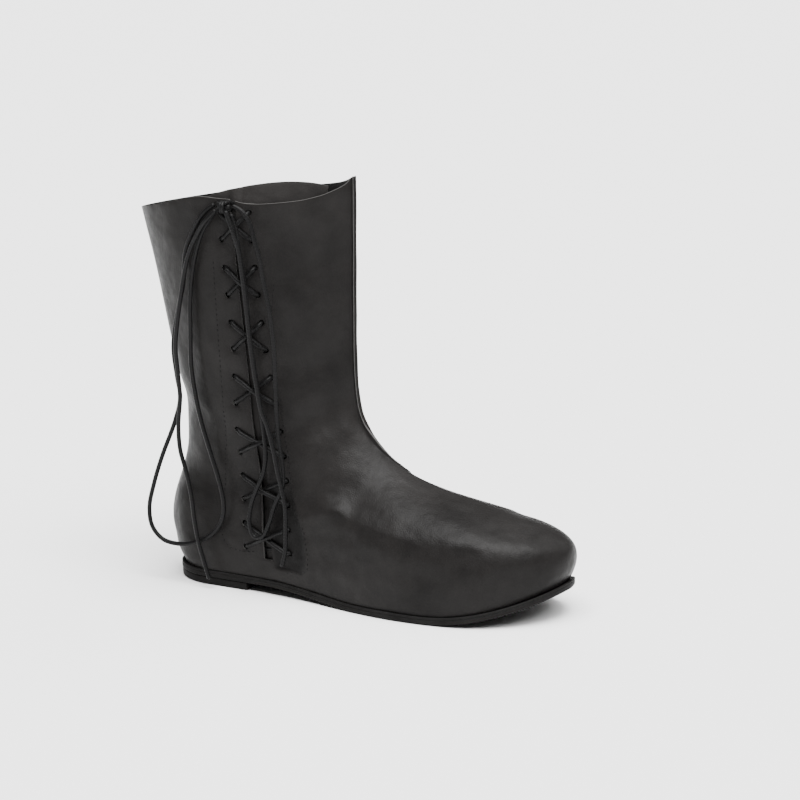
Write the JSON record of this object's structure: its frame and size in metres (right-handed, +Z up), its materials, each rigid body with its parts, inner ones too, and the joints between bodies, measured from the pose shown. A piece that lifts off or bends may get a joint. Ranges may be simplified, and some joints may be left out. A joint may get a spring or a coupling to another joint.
{
  "type": "lace-up boot",
  "caption": "Hollow calf-length boot for the right foot, laced with a cord bow down its outer side over a tongue, with a raised front seam and a thin flat sole.",
  "frame": {"origin": "middle of the heel's floor face, on the floor", "axes": "+X towards the toe, +Y towards the wearer's left, which is the inner side of this right boot, +Z up. The lacing is on the -Y side."},
  "size_m": [0.3119, 0.1061, 0.2811],
  "materials": {
    "upper_leather": "satin black smooth leather",
    "sole_rubber": "matt black",
    "insole_lining": "matt dark lining",
    "lace_cord": "waxed black round cord"
  },
  "bodies": {
    "root": {"outsole": "sole_rubber", "heel_lift": "sole_rubber", "insole": "insole_lining", "upper": "upper_leather", "tongue": "upper_leather", "lace_cross_1": "lace_cord", "lace_cross_2": "lace_cord", "lace_cross_3": "lace_cord", "lace_cross_4": "lace_cord", "lace_cross_5": "lace_cord", "lace_cross_6": "lace_cord", "lace_cross_7": "lace_cord", "lace_knot": "lace_cord", "lace_loop_rear": "lace_cord", "lace_end_rear": "lace_cord", "lace_loop_front": "lace_cord", "lace_end_front": "lace_cord"}
  },
  "joints": []
}
